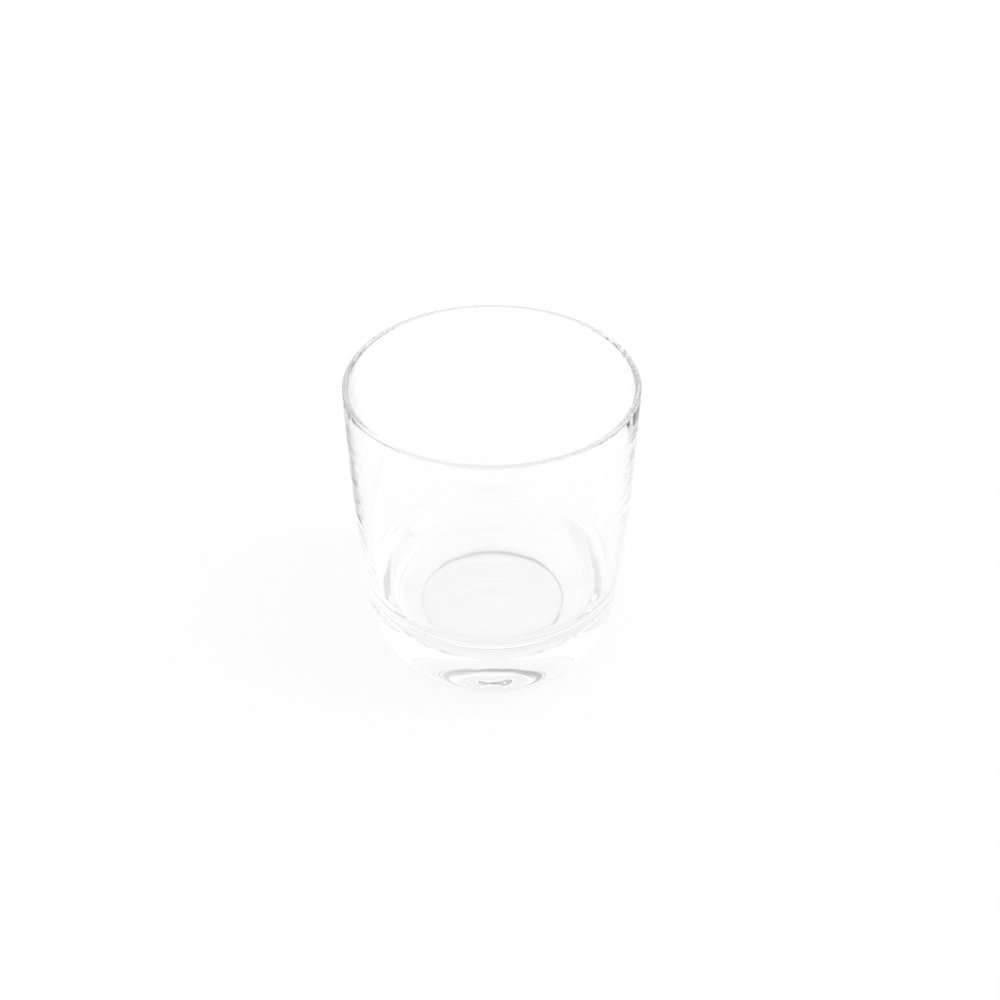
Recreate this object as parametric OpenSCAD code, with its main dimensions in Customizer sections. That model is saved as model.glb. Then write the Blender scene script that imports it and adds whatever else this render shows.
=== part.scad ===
// Whiskey tumbler: one piece of clear soda-lime glass with a heavy base.
// The whole body is one solid of revolution about Z. The origin is the centre
// of the resting face, +Z points up through the mouth. Millimetres.

/* [Overall size] */
// Outside diameter at the rim
rim_d = 84; // [78:0.5:90]
// Height from the resting face to the top of the rim
height = 93.2; // [82:0.1:105]

/* [Outside] */
// Outside diameter where the side wall runs into the rounded heel
heel_d = 77.28; // [73:0.02:80]
// Height at which the side wall runs into the rounded heel
heel_h = 18.1; // [14:0.1:22]
// Outside diameter of the resting ring
foot_d = 53.6; // [51:0.1:62]
// How far the heel stays low before it turns up, as a share of its width
heel_low = 0.6; // [0.3:0.005:0.8]
// How far the heel stays upright below the wall, as a share of its height
heel_high = 0.585; // [0.3:0.005:0.8]
// Outward swell of the side wall at mid height, over a straight cone
belly = 0.75; // [0:0.01:1.2]

/* [Glass thickness] */
// Thickness of the rounded rim
rim_t = 1.75; // [1.2:0.05:2.5]
// Thickness of the side wall where the cavity's corner begins
corner_t = 2.6; // [2:0.05:4]
// Height of the cavity floor's edge above the resting face
base_t = 13.5; // [11:0.1:16]

/* [Cavity] */
// Diameter of the cavity floor
floor_d = 44.8; // [40:0.1:48]
// Crown of the cavity floor: how much higher its middle is than its edge
floor_crown = 0.5; // [0:0.05:1]
// Height over which the cavity's corner rises from the floor to the wall
corner_rise = 18; // [14:0.5:24]
// Pitch at which the corner leaves the floor's edge, in degrees
corner_pitch = 43; // [20:1:60]
// Fullness of the corner at the wall
corner_up = 0.55; // [0.4:0.01:0.7]
// Fullness of the corner at the floor
corner_in = 0.4; // [0.3:0.01:0.6]

/* [Underside] */
// Diameter of the hollow inside the resting ring
punt_d = 49; // [44:0.1:50]
// Depth of the hollow at its centre
punt_h = 3.0; // [1:0.05:4]

/* [Hidden] */

// number of steps along each stretch of the profile
n_punt = 14;
n_heel = 20;
n_wall = 16;
n_rim = 10;
n_corner = 24;
n_edge = 4;
n_floor = 8;

rim_r = rim_d / 2;
heel_r = heel_d / 2;
foot_r = foot_d / 2;
floor_r = floor_d / 2;
punt_r = punt_d / 2;
lip = rim_t / 2;                       // radius of the rounded rim
lip_z = height - lip;                  // height of the rim's centre line
corner_z = base_t + corner_rise;       // height at which the cavity wall begins
edge_share = 0.06;                     // share of the corner that is rounded into the floor
edge_in = 1.2;                         // width of that rounding on the floor

// points at t on a curve with end points a, c and one handle, or a, d and two
function arch(a, b, c, t) = pow(1 - t, 2) * a + 2 * t * (1 - t) * b + t * t * c;
function curve(a, b, c, d, t) =
    pow(1 - t, 3) * a + 3 * pow(1 - t, 2) * t * b
    + 3 * (1 - t) * t * t * c + pow(t, 3) * d;

// outside radius of the side wall at t, 0 at the heel and 1 at the rim
function wall_r(t) = heel_r + t * (rim_r - heel_r) + 4 * belly * t * (1 - t);
function wall_t_at(z) = (z - heel_h) / (lip_z - heel_h);

// the cavity wall follows the outside, from the corner to the rim
corner_r = wall_r(wall_t_at(corner_z)) - corner_t;
cavity_belly = belly * pow((height - corner_z) / (height - heel_h), 2);
function cavity_r(t) =
    corner_r + t * (rim_r - rim_t - corner_r) + 4 * cavity_belly * t * (1 - t);

// directions down the outside wall at the heel, and down the cavity wall at the corner
wall_slope = (rim_r - heel_r + 4 * belly) / (lip_z - heel_h);
cavity_slope = (rim_r - rim_t - corner_r + 4 * cavity_belly) / (lip_z - corner_z);
wall_down = [-wall_slope, -1] / norm([wall_slope, 1]);
cavity_down = [-cavity_slope, -1] / norm([cavity_slope, 1]);

// height of the crowned cavity floor at radius r
function floor_z(r) = base_t + floor_crown * (1 - pow(r / floor_r, 2));

// the cavity's corner, from the wall at t = 0 to the floor's edge at t = 1
function corner(t) = curve(
    [corner_r, corner_z],
    [corner_r, corner_z] + cavity_down * corner_up * corner_rise,
    [floor_r, base_t] + [cos(corner_pitch), sin(corner_pitch)]
        * corner_in * (corner_r - floor_r),
    [floor_r, base_t], t);

// half section, counter-clockwise from the centre of the underside
underside = [for (i = [0 : n_punt])
    [punt_r * i / n_punt, punt_h * (1 - pow(i / n_punt, 2))]];
heel = [for (i = [0 : n_heel])
    curve([foot_r, 0],
          [foot_r + heel_low * (heel_r - foot_r), 0],
          [heel_r, heel_h] + wall_down * heel_high * heel_h,
          [heel_r, heel_h], i / n_heel)];
wall = [for (i = [1 : n_wall])
    [wall_r(i / n_wall), heel_h + (lip_z - heel_h) * i / n_wall]];
rim = [for (i = [1 : n_rim - 1])
    [rim_r - lip + lip * cos(180 * i / n_rim), lip_z + lip * sin(180 * i / n_rim)]];
cavity_wall = [for (i = [n_wall : -1 : 0])
    [cavity_r(i / n_wall), corner_z + (lip_z - corner_z) * i / n_wall]];
cavity_corner = [for (i = [1 : n_corner]) corner((1 - edge_share) * i / n_corner)];
floor_edge = [for (i = [1 : n_edge])
    arch(corner(1 - edge_share), [floor_r, base_t],
         [floor_r - edge_in, floor_z(floor_r - edge_in)], i / n_edge)];
cavity_floor = [for (i = [1 : n_floor])
    let (r = (floor_r - edge_in) * (1 - i / n_floor)) [r, floor_z(r)]];
section = concat(underside, heel, wall, rim, cavity_wall, cavity_corner,
                 floor_edge, cavity_floor);

// the tumbler itself: heavy base, rounded heel, thin wall and fire-polished rim
module glass_body() {
    color([0.90, 0.94, 0.95, 0.45])
        rotate_extrude($fn = 144)
            polygon(section);
}

glass_body();
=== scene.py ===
"""Clear glass whiskey tumbler on a plain pale sweep, lit by soft studio light."""

import math

import bmesh
import bpy
import numpy as np
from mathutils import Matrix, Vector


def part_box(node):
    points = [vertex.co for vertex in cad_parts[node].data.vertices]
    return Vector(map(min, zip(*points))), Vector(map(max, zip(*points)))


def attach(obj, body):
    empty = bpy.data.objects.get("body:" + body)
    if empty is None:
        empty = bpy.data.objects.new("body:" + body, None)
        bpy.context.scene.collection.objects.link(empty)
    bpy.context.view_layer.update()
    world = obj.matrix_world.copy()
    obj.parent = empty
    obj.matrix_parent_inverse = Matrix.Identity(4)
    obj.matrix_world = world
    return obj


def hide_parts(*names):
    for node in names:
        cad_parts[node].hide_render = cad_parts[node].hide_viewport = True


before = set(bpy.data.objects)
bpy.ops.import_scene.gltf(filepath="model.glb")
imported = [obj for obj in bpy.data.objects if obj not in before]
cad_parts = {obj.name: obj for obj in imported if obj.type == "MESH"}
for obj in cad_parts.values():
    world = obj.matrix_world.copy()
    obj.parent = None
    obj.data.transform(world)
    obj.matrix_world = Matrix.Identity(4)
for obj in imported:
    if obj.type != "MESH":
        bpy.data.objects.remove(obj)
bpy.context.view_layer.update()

scene = bpy.context.scene
MM = 0.001

# ---------------------------------------------------------------- dimensions
# The tumbler's own dimensions in millimetres, the same as in its CAD model.
low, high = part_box("glass_body")
HEIGHT = (high.z - low.z) / MM
RIM_R = 42.0
HEEL_R = 38.64
HEEL_H = 18.1
FOOT_R = 26.8
HEEL_LOW = 0.6
HEEL_HIGH = 0.585
BELLY = 0.75
RIM_T, CORNER_T = 1.75, 2.6
BASE_T = 13.5
FLOOR_R = 22.4
FLOOR_CROWN = 0.5
CORNER_RISE = 18.0
CORNER_PITCH = math.radians(43.0)
CORNER_UP = 0.55
CORNER_IN = 0.4
EDGE_SHARE = 0.06
EDGE_IN = 1.2
PUNT_R = 24.5
PUNT_H = 3.0
LIP = RIM_T / 2
LIP_Z = HEIGHT - LIP
CORNER_Z = BASE_T + CORNER_RISE
AROUND = 350  # steps around the axis
DRIFT_IN, DRIFT_OUT = 0.5, 1.0  # how wavy the inner and outer surfaces are
RIPPLE = 0.028
RIPPLE_LOW = 0.12
RINGS = 16.0  # ripples up the height
MELT = 0.04
MELTED = [(141, 15), (118, 5), (199, 9), (22, 14), (48, 6), (336, 9)]  # where on the rim, in degrees from +X
BUMP = 0.0000015  # height of the finest forming waves, in metres
ABSORB = 0.35  # what the glass takes from the light, per metre
POLISH = 0.012  # roughness of the softest patches
BOUNCES = 80
MIRRORS = 36
KEY = 5.5
FLOOR_GREY = 0.09
GLOW = 0.895
FAR_GLOW = 0.35
FAR_FROM = 0.9
FAR_TO = 1.4
# painted shade: the floor's glow is dimmed under the glass foot
UNDER_FOOT_SHADE = 0.98  # how much of the glow is left under the foot
# painted contact shadow on the floor: glow left in the ring at its deepest and faintest side, the direction it is
# deepest, its radius and width
CONTACT_SHADOW_DEEP = 0.60
CONTACT_SHADOW_FAINT = 0.92
CONTACT_SHADOW_TURN = math.radians(38.0)
CONTACT_SHADOW_R = 26.6
CONTACT_SHADOW_W = 1.4


def pair(*v):
    return np.array(v, float)


def arch(a, b, c, t):
    return (1 - t) ** 2 * a + 2 * t * (1 - t) * b + t * t * c


def curve(a, b, c, d, t):
    return (1 - t) ** 3 * a + 3 * (1 - t) ** 2 * t * b + 3 * (1 - t) * t * t * c + t**3 * d


def wall_r(t):
    return HEEL_R + t * (RIM_R - HEEL_R) + 4 * BELLY * t * (1 - t)


CORNER_R = wall_r((CORNER_Z - HEEL_H) / (LIP_Z - HEEL_H)) - CORNER_T
CAVITY_BELLY = BELLY * ((HEIGHT - CORNER_Z) / (HEIGHT - HEEL_H)) ** 2


def cavity_r(t):
    return CORNER_R + t * (RIM_R - RIM_T - CORNER_R) + 4 * CAVITY_BELLY * t * (1 - t)


def floor_z(r):
    return BASE_T + FLOOR_CROWN * (1 - (r / FLOOR_R) ** 2)


WALL_SLOPE = (RIM_R - HEEL_R + 4 * BELLY) / (LIP_Z - HEEL_H)
CAVITY_SLOPE = (RIM_R - RIM_T - CORNER_R + 4 * CAVITY_BELLY) / (LIP_Z - CORNER_Z)
WALL_DOWN = -pair(WALL_SLOPE, 1) / math.hypot(WALL_SLOPE, 1)
CAVITY_DOWN = -pair(CAVITY_SLOPE, 1) / math.hypot(CAVITY_SLOPE, 1)


def corner(t):
    return curve(
        pair(CORNER_R, CORNER_Z),
        pair(CORNER_R, CORNER_Z) + CAVITY_DOWN * CORNER_UP * CORNER_RISE,
        pair(FLOOR_R, BASE_T)
        + pair(math.cos(CORNER_PITCH), math.sin(CORNER_PITCH)) * CORNER_IN * (CORNER_R - FLOOR_R),
        pair(FLOOR_R, BASE_T),
        t,
    )


def section():
    """The half section from the centre of the underside round to the centre of the cavity floor, as (r, z, zone) with zone 0 outside and 1 inside."""
    p = []
    n = 26
    p += [(PUNT_R * i / n, PUNT_H * (1 - (i / n) ** 2), 0) for i in range(n + 1)]
    n = 46
    p += [
        (*curve(
            pair(FOOT_R, 0),
            pair(FOOT_R + HEEL_LOW * (HEEL_R - FOOT_R), 0),
            pair(HEEL_R, HEEL_H) + WALL_DOWN * HEEL_HIGH * HEEL_H,
            pair(HEEL_R, HEEL_H),
            i / n,
        ), 0)
        for i in range(n + 1)
    ]
    n = 40
    p += [(wall_r(i / n), HEEL_H + (LIP_Z - HEEL_H) * i / n, 0) for i in range(1, n + 1)]
    n = 20
    p += [
        (
            RIM_R - LIP + LIP * math.cos(math.pi * i / n),
            LIP_Z + LIP * math.sin(math.pi * i / n),
            0 if i <= n / 2 else 1,
        )
        for i in range(1, n)
    ]
    n = 40
    p += [(cavity_r(i / n), CORNER_Z + (LIP_Z - CORNER_Z) * i / n, 1) for i in range(n, -1, -1)]
    n = 70
    p += [(*corner((1 - EDGE_SHARE) * i / n), 1) for i in range(1, n + 1)]
    n = 12
    p += [
        (*arch(
            corner(1 - EDGE_SHARE),
            pair(FLOOR_R, BASE_T),
            pair(FLOOR_R - EDGE_IN, floor_z(FLOOR_R - EDGE_IN)),
            i / n,
        ), 1)
        for i in range(1, n + 1)
    ]
    n = 28
    p += [
        ((FLOOR_R - EDGE_IN) * (1 - i / n), floor_z((FLOOR_R - EDGE_IN) * (1 - i / n)), 1)
        for i in range(1, n + 1)
    ]
    p[0] = (0.0, PUNT_H, 0)
    p[-1] = (0.0, floor_z(0), 1)
    return np.array(p, float)


def ripple(theta, up, seed):
    """Fine forming ripple: leaning bands about five millimetres apart, stronger in some places than others."""
    band = np.sin(2 * math.pi * (up * RINGS + 0.35 * np.sin(theta + seed) + 0.22 * np.sin(2 * theta + 2.3 * seed)))
    fine = np.sin(2 * math.pi * (up * RINGS * 2.3 + 0.5 * np.sin(theta * 2 + 1.7 * seed)) + seed)
    place = 0.55 + 0.45 * np.sin(theta * 3 + 4.0 * up + seed) * np.sin(theta + 1.3 * seed)
    place = place * (RIPPLE_LOW + (1 - RIPPLE_LOW) * np.cos(theta) ** 2)
    return place * (band + 0.4 * fine)


def drift(theta, r, z, zone):
    """How far the hand of the glassmaker leaves the surface off its true circle, in millimetres: a few slow lobes, leaning ripples up the wall, and the flame's uneven melt along the rim."""
    w = np.clip(r / 8.0, 0, 1) ** 2
    up = z / HEIGHT
    if zone > 0.5:
        d = 0.070 * np.cos(2 * theta + 0.6 + 0.8 * up)
        d += 0.050 * np.cos(3 * theta + 2.1 - 1.4 * up)
        d += 0.034 * np.cos(5 * theta + 4.0 + 2.2 * up)
        d += 0.016 * np.cos(8 * theta + 1.0 - 5.0 * up)
        d += 0.006 * np.cos(13 * theta + 0.4 + 9.0 * up)
        d = (d + RIPPLE * ripple(theta, up, 0.7) * np.clip((z - 30.0) / 12.0, 0, 1)) * DRIFT_IN
    else:
        d = 0.035 * np.cos(2 * theta + 2.4 - 0.6 * up)
        d += 0.025 * np.cos(4 * theta + 0.9 + 1.8 * up)
        d += 0.012 * np.cos(7 * theta + 3.3 - 3.0 * up)
        d += 0.005 * np.cos(15 * theta + 5.1 + 6.0 * up)
        d = (d + RIPPLE * ripple(theta, up, 2.9) * np.clip((z - 22.0) / 12.0, 0, 1)) * DRIFT_OUT
        w = w * np.clip(z / 5.0, 0, 1)  # the resting ring stays flat
    # the rim, melted smooth, keeps a short uneven ripple in a few places
    near = np.clip((z - (HEIGHT - 3.2)) / 1.8, 0, 1)
    melt = np.sin(61 * theta + 3 * np.sin(5 * theta)) + 0.9 * np.sin(83 * theta + 2.0 * np.sin(7 * theta + 1.0) + 40 * up)
    place = 0.0
    for at, wide in MELTED:
        away = np.abs((theta - math.radians(at) + math.pi) % (2 * math.pi) - math.pi)
        place = place + np.exp(-((away / math.radians(wide)) ** 2))
    melt = melt * place
    return d * w + MELT * near * melt


def tumbler():
    """The whole body as one closed surface, turned about Z with the drift laid along its normal."""
    p = section()
    step = np.gradient(p[:, :2], axis=0)
    normal = np.stack([step[:, 1], -step[:, 0]], 1)
    normal /= np.linalg.norm(normal, axis=1)[:, None]
    theta = np.linspace(0, 2 * math.pi, AROUND, endpoint=False)
    cos, sin = np.cos(theta), np.sin(theta)
    verts, rings = [], []
    for (r, z, zone), (nr, nz) in zip(p, normal):
        if r < 1e-9:
            rings.append([len(verts)])
            verts.append((0.0, 0.0, z * MM))
            continue
        d = drift(theta, r, z, zone)
        rr, zz = r + nr * d, z + nz * d
        rings.append(range(len(verts), len(verts) + AROUND))
        verts.extend(zip(rr * cos * MM, rr * sin * MM, zz * MM))
    faces = []
    for a, b in zip(rings[:-1], rings[1:]):
        for i in range(AROUND):
            j = (i + 1) % AROUND
            if len(a) == 1:
                faces.append((a[0], b[j], b[i]))
            elif len(b) == 1:
                faces.append((a[i], a[j], b[0]))
            else:
                faces.append((a[i], a[j], b[j], b[i]))
    mesh = bpy.data.meshes.new("tumbler")
    mesh.from_pydata([tuple(float(c) for c in v) for v in verts], [], faces)
    bm = bmesh.new()
    bm.from_mesh(mesh)
    bmesh.ops.recalc_face_normals(bm, faces=bm.faces)
    bm.to_mesh(mesh)
    bm.free()
    mesh.polygons.foreach_set("use_smooth", [True] * len(mesh.polygons))
    mesh.update()
    obj = bpy.data.objects.new("tumbler", mesh)
    scene.collection.objects.link(obj)
    return obj


# ------------------------------------------------------------------ materials
def link(tree, a, b):
    tree.links.new(a, b)


def clear_glass():
    """Fire-polished soda-lime glass: clear, with a trace of absorption in the thick base, soft waves from forming, and a polish that varies a little over the surface."""
    m = bpy.data.materials.new("clear_glass")
    m.use_nodes = True
    t = m.node_tree
    b = next(n for n in t.nodes if n.type == "BSDF_PRINCIPLED")
    out = next(n for n in t.nodes if n.type == "OUTPUT_MATERIAL")
    b.inputs["Base Color"].default_value = (1.0, 1.0, 1.0, 1.0)
    b.inputs["IOR"].default_value = 1.5
    b.inputs["Transmission Weight"].default_value = 1.0
    where = t.nodes.new("ShaderNodeTexCoord")
    # polish: almost perfect, a little softer in slow patches
    patch = t.nodes.new("ShaderNodeTexNoise")
    patch.inputs["Scale"].default_value = 22.0
    patch.inputs["Detail"].default_value = 3.0
    link(t, where.outputs["Object"], patch.inputs["Vector"])
    polish = t.nodes.new("ShaderNodeMapRange")
    polish.inputs["From Min"].default_value = 0.45
    polish.inputs["From Max"].default_value = 0.75
    polish.inputs["To Min"].default_value = 0.0
    polish.inputs["To Max"].default_value = POLISH
    link(t, patch.outputs["Fac"], polish.inputs["Value"])
    link(t, polish.outputs["Result"], b.inputs["Roughness"])
    # forming waves: long drawn lines up the wall over a slow orange-peel
    stretch = t.nodes.new("ShaderNodeMapping")
    stretch.inputs["Scale"].default_value = (1.0, 1.0, 0.22)
    link(t, where.outputs["Object"], stretch.inputs["Vector"])
    drawn = t.nodes.new("ShaderNodeTexNoise")
    drawn.inputs["Scale"].default_value = 90.0
    drawn.inputs["Detail"].default_value = 2.0
    link(t, stretch.outputs["Vector"], drawn.inputs["Vector"])
    peel = t.nodes.new("ShaderNodeTexNoise")
    peel.inputs["Scale"].default_value = 130.0
    peel.inputs["Detail"].default_value = 1.0
    link(t, where.outputs["Object"], peel.inputs["Vector"])
    both = t.nodes.new("ShaderNodeMath")
    both.operation = "MULTIPLY_ADD"
    both.inputs[1].default_value = 0.25
    link(t, peel.outputs["Fac"], both.inputs[0])
    link(t, drawn.outputs["Fac"], both.inputs[2])
    bump = t.nodes.new("ShaderNodeBump")
    bump.inputs["Strength"].default_value = 1.0
    bump.inputs["Distance"].default_value = BUMP
    link(t, both.outputs["Value"], bump.inputs["Height"])
    link(t, bump.outputs["Normal"], b.inputs["Normal"])
    # neutral absorption along the path through the glass
    body = t.nodes.new("ShaderNodeVolumeAbsorption")
    body.inputs["Color"].default_value = (0.0, 0.0, 0.0, 1.0)
    body.inputs["Density"].default_value = ABSORB
    link(t, body.outputs["Volume"], out.inputs["Volume"])
    return m


def sweep_material():
    """The pale lit acrylic that the tumbler stands on: mostly lit from inside, so that only a pale shadow shows. Its
    glow carries painted shade under the foot and a painted contact shadow ring round it.
    """
    m = bpy.data.materials.new("pale_sweep")
    m.use_nodes = True
    b = next(n for n in m.node_tree.nodes if n.type == "BSDF_PRINCIPLED")
    b.inputs["Base Color"].default_value = (FLOOR_GREY, FLOOR_GREY, FLOOR_GREY, 1.0)
    b.inputs["Roughness"].default_value = 0.9
    b.inputs["Specular IOR Level"].default_value = 0.1
    b.inputs["Emission Color"].default_value = (1.0, 1.0, 1.0, 1.0)
    where = m.node_tree.nodes.new("ShaderNodeTexCoord")
    far = m.node_tree.nodes.new("ShaderNodeVectorMath")
    far.operation = "LENGTH"
    link(m.node_tree, where.outputs["Object"], far.inputs[0])
    glow = m.node_tree.nodes.new("ShaderNodeMapRange")
    glow.interpolation_type = "SMOOTHSTEP"
    glow.inputs["From Min"].default_value = FAR_FROM
    glow.inputs["From Max"].default_value = FAR_TO
    glow.inputs["To Min"].default_value = GLOW
    glow.inputs["To Max"].default_value = FAR_GLOW
    link(m.node_tree, far.outputs["Value"], glow.inputs["Value"])
    # painted contact shadow: a narrow dark ring cut into the floor's glow where the foot touches, darker towards one
    # side
    gap = m.node_tree.nodes.new("ShaderNodeMath")
    gap.operation = "SUBTRACT"
    link(m.node_tree, far.outputs["Value"], gap.inputs[0])
    gap.inputs[1].default_value = CONTACT_SHADOW_R * MM
    near = m.node_tree.nodes.new("ShaderNodeMath")
    near.operation = "ABSOLUTE"
    link(m.node_tree, gap.outputs["Value"], near.inputs[0])
    contact_shadow = m.node_tree.nodes.new("ShaderNodeMapRange")
    contact_shadow.interpolation_type = "SMOOTHSTEP"
    contact_shadow.inputs["From Min"].default_value = 0.0
    contact_shadow.inputs["From Max"].default_value = CONTACT_SHADOW_W * MM
    # the painted contact shadow is deepest towards CONTACT_SHADOW_TURN and faintest opposite it
    side = m.node_tree.nodes.new("ShaderNodeVectorMath")
    side.operation = "DOT_PRODUCT"
    link(m.node_tree, where.outputs["Object"], side.inputs[0])
    side.inputs[1].default_value = (math.cos(CONTACT_SHADOW_TURN), math.sin(CONTACT_SHADOW_TURN), 0)
    contact_shadow_side = m.node_tree.nodes.new("ShaderNodeMapRange")
    contact_shadow_side.inputs["From Min"].default_value = -CONTACT_SHADOW_R * MM
    contact_shadow_side.inputs["From Max"].default_value = CONTACT_SHADOW_R * MM
    contact_shadow_side.inputs["To Min"].default_value = CONTACT_SHADOW_FAINT
    contact_shadow_side.inputs["To Max"].default_value = CONTACT_SHADOW_DEEP
    link(m.node_tree, side.outputs["Value"], contact_shadow_side.inputs["Value"])
    link(m.node_tree, contact_shadow_side.outputs["Result"], contact_shadow.inputs["To Min"])
    contact_shadow.inputs["To Max"].default_value = 1.0
    link(m.node_tree, near.outputs["Value"], contact_shadow.inputs["Value"])
    # painted shade under the foot: the floor's glow dims towards the centre inside 20 to 34 mm
    shade = m.node_tree.nodes.new("ShaderNodeMapRange")
    shade.interpolation_type = "SMOOTHSTEP"
    shade.inputs["From Min"].default_value = 20 * MM
    shade.inputs["From Max"].default_value = 34 * MM
    shade.inputs["To Min"].default_value = UNDER_FOOT_SHADE
    shade.inputs["To Max"].default_value = 1.0
    link(m.node_tree, far.outputs["Value"], shade.inputs["Value"])
    shaded_glow = m.node_tree.nodes.new("ShaderNodeMath")
    shaded_glow.operation = "MULTIPLY"
    link(m.node_tree, glow.outputs["Result"], shaded_glow.inputs[0])
    link(m.node_tree, shade.outputs["Result"], shaded_glow.inputs[1])
    light = m.node_tree.nodes.new("ShaderNodeMath")
    light.operation = "MULTIPLY"
    link(m.node_tree, shaded_glow.outputs["Value"], light.inputs[0])
    link(m.node_tree, contact_shadow.outputs["Result"], light.inputs[1])
    link(m.node_tree, light.outputs["Value"], b.inputs["Emission Strength"])
    return m


def studio():
    """A white studio all round with soft-edged panels, lighter or darker than the rest of it."""
    world = bpy.data.worlds.new("studio")
    scene.world = world
    world.use_nodes = True
    t = world.node_tree
    bg = next(n for n in t.nodes if n.type == "BACKGROUND")

    def maths(op, *values):
        n = t.nodes.new("ShaderNodeMath")
        n.operation = op
        for i, v in enumerate(values):
            if isinstance(v, (int, float)):
                n.inputs[i].default_value = v
            else:
                link(t, v, n.inputs[i])
        return n.outputs[0]

    def soft_edge(distance, width):
        n = t.nodes.new("ShaderNodeMapRange")
        n.interpolation_type = "SMOOTHSTEP"
        link(t, distance, n.inputs["Value"])
        n.inputs["From Min"].default_value = 0.0
        n.inputs["From Max"].default_value = math.radians(width)
        n.inputs["To Min"].default_value = 1.0
        n.inputs["To Max"].default_value = 0.0
        return n.outputs["Result"]

    where = t.nodes.new("ShaderNodeTexCoord")
    split = t.nodes.new("ShaderNodeSeparateXYZ")
    link(t, where.outputs["Generated"], split.inputs["Vector"])
    turn = maths("ARCTAN2", split.outputs["X"], split.outputs["Y"])
    rise = maths("ARCSINE", split.outputs["Z"])
    value = maths("ADD", SKY, 0.0)
    for azimuth, elevation, wide, tall, change in PANELS:
        part = maths("MULTIPLY", soft_edge(maths("ABSOLUTE", maths("SUBTRACT", rise, math.radians(elevation))), tall), change)
        if wide < 360:
            away = maths("ABSOLUTE", maths("WRAP", maths("SUBTRACT", turn, math.radians(azimuth)), math.pi, -math.pi))
            part = maths("MULTIPLY", part, soft_edge(away, wide))
        value = maths("ADD", value, part)
    value = maths("MAXIMUM", value, 0.02)
    colour = t.nodes.new("ShaderNodeCombineXYZ")
    for i in range(3):
        link(t, value, colour.inputs[i])
    link(t, colour.outputs["Vector"], bg.inputs["Color"])
    bg.inputs["Strength"].default_value = 1.0


SKY = 1.0
# Each panel: azimuth from +Y towards +X, elevation, how far it reaches each way, and how much lighter or darker it is.
PANELS = [
    (180, 8, 40, 30, -0.95),  # the dark side of the room, behind the camera
    (-10, 24, 60, 20, -0.50),  # gap over the far end of the table
    (0, 2, 80, 14, -0.50),  # the table's far edge
    (45, 11, 30, 16, -0.50),
    (-45, 8, 30, 15, -0.10),
    (-80, 8, 60, 26, -0.22),  # dimmer side, left
    (95, 22, 75, 34, 0.35),  # lit side, right
    (150, 40, 60, 20, 0.20),
    (0, 45, 95, 18, 0.20),
    (0, 60, 360, 16, -0.08),
]

# ---------------------------------------------------------------------- build
glass = tumbler()
glass.data.materials.append(clear_glass())
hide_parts("glass_body")
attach(glass, "root")

half = 6.0
sweep_mesh = bpy.data.meshes.new("sweep")
sweep_mesh.from_pydata(
    [(-half, -half, -0.00005), (half, -half, -0.00005), (half, half, -0.00005), (-half, half, -0.00005)],
    [],
    [(0, 1, 2, 3)],
)
sweep = bpy.data.objects.new("sweep", sweep_mesh)
scene.collection.objects.link(sweep)
sweep.data.materials.append(sweep_material())

studio()


def softbox(name, at, size, power):
    light = bpy.data.lights.new(name, "AREA")
    light.shape = "DISK"
    light.size = size
    light.energy = power
    light.color = (1, 1, 1)
    o = bpy.data.objects.new(name, light)
    scene.collection.objects.link(o)
    o.location = at
    aim = bpy.data.objects[name].location * -1
    o.rotation_mode = "QUATERNION"
    o.rotation_quaternion = aim.to_track_quat("-Z", "Y")
    return o


# soft key from the right, 56 degrees up, for the pale shadow on the left
key = softbox("key", (0.92, -0.16, 1.38), 0.55, KEY)
key.visible_glossy = False
key.visible_transmission = False

# --------------------------------------------------------------------- camera
cam_data = bpy.data.cameras.new("camera")
cam = bpy.data.objects.new("camera", cam_data)
scene.collection.objects.link(cam)
cam_data.sensor_width = 36.0
cam_data.lens = 50.0
cam_data.clip_start = 0.01
cam.location = (0.00233, -0.3288, 0.2119 + HEIGHT * MM)
cam.rotation_euler = (math.radians(90 - 37.78), 0, 0)
scene.camera = cam

scene.view_settings.view_transform = "Standard"
scene.view_settings.look = "None"
scene.view_settings.exposure = 0.0
scene.cycles.max_bounces = BOUNCES
scene.cycles.transmission_bounces = BOUNCES
scene.cycles.glossy_bounces = MIRRORS
scene.cycles.diffuse_bounces = 4
scene.cycles.caustics_reflective = True
scene.cycles.caustics_refractive = True
